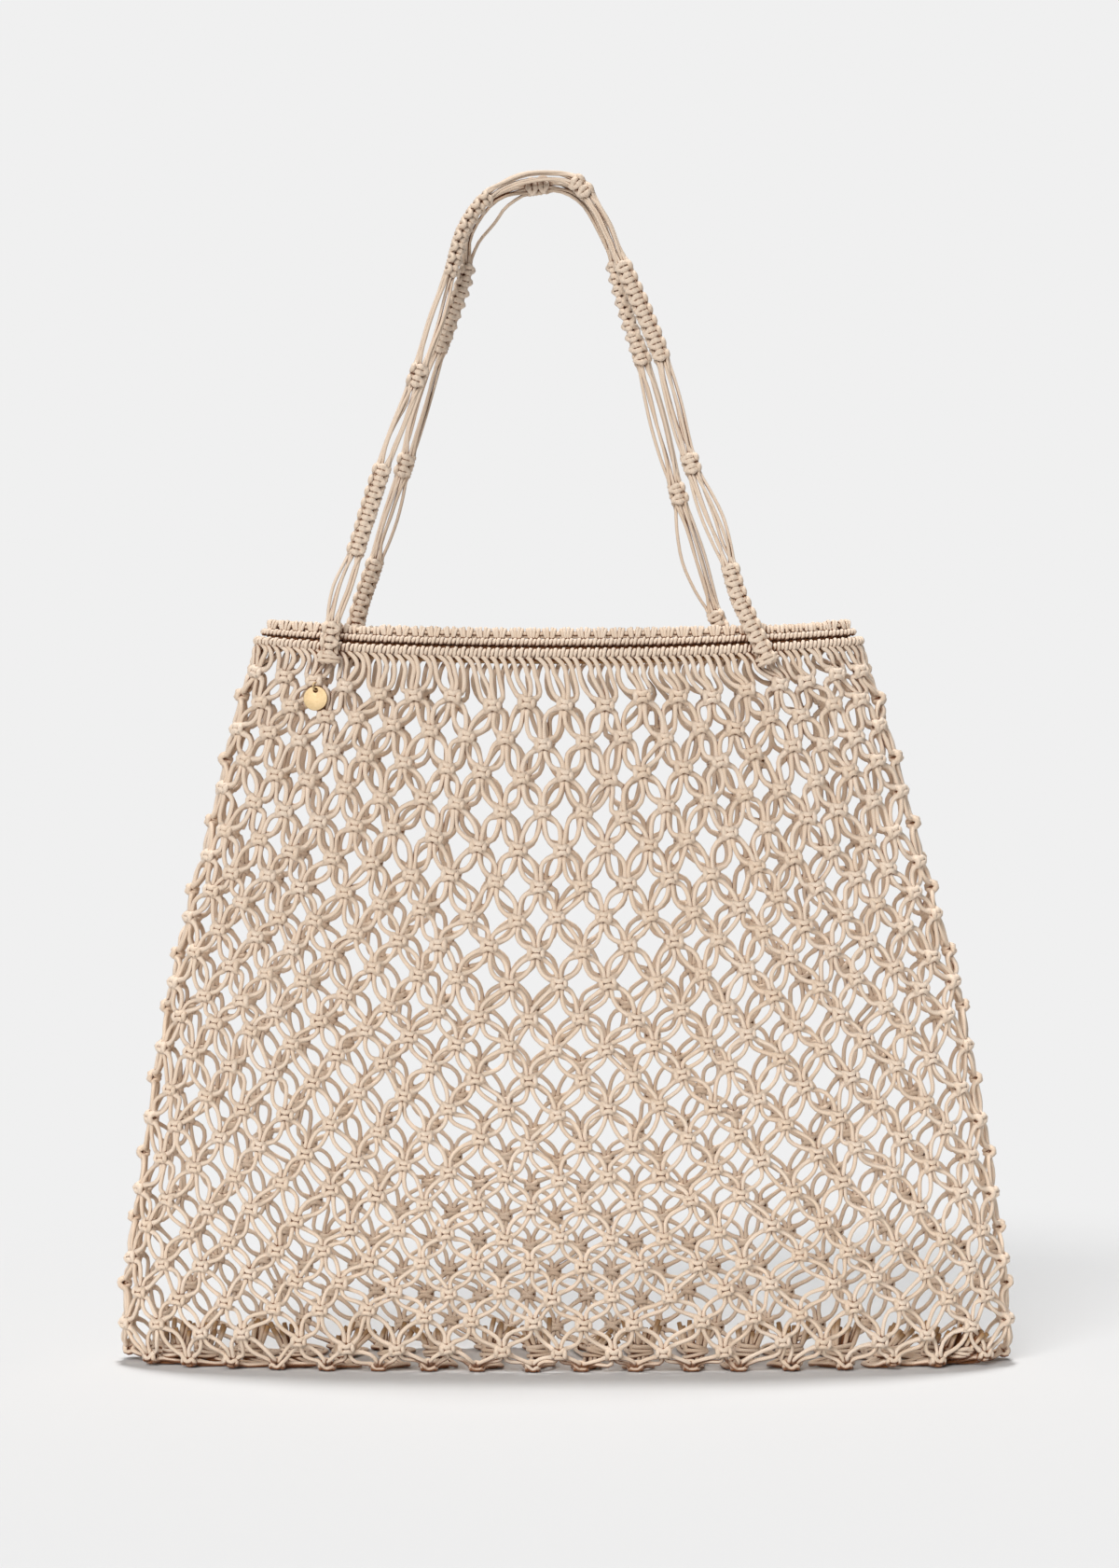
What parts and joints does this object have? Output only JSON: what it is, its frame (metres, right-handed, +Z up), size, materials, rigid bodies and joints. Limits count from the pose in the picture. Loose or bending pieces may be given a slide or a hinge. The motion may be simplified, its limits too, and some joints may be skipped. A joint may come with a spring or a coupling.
{
  "type": "tote bag",
  "caption": "Open tote bag knotted from round cord in a diamond net, with a rolled rim, two knotted cord handles and a small round metal charm on a jump ring.",
  "frame": {"origin": "middle of the underside of the base, on the surface that the bag stands on", "axes": "+Z up, +X to the right across the bag as its front is seen, -Y towards the front, where the charm hangs"},
  "size_m": [0.478, 0.112, 0.6389],
  "materials": {
    "cord": "braided nylon cord, beige, with a soft sheen",
    "gold": "polished pale yellow gold plating"
  },
  "bodies": {
    "root": {"net_body": "cord", "rim_lower_roll": "cord", "rim_upper_roll": "cord", "rim_header": "cord", "handle_front_01_knotted": "cord", "handle_front_02_loose": "cord", "handle_front_03_knotted": "cord", "handle_front_04_loose": "cord", "handle_front_05_knotted": "cord", "handle_front_06_loose": "cord", "handle_front_07_knotted": "cord", "handle_front_08_loose": "cord", "handle_front_09_knotted": "cord", "handle_front_10_loose": "cord", "handle_front_11_knotted": "cord", "handle_front_12_loose": "cord", "handle_front_13_knotted": "cord", "handle_front_14_loose": "cord", "handle_front_15_knotted": "cord", "handle_back_01_knotted": "cord", "handle_back_02_loose": "cord", "handle_back_03_knotted": "cord", "handle_back_04_loose": "cord", "handle_back_05_knotted": "cord", "handle_back_06_loose": "cord", "handle_back_07_knotted": "cord", "handle_back_08_loose": "cord", "handle_back_09_knotted": "cord", "handle_back_10_loose": "cord", "handle_back_11_knotted": "cord", "handle_back_12_loose": "cord", "handle_back_13_knotted": "cord", "base_tie_row": "cord", "charm": "gold", "jump_ring": "gold"}
  },
  "joints": []
}
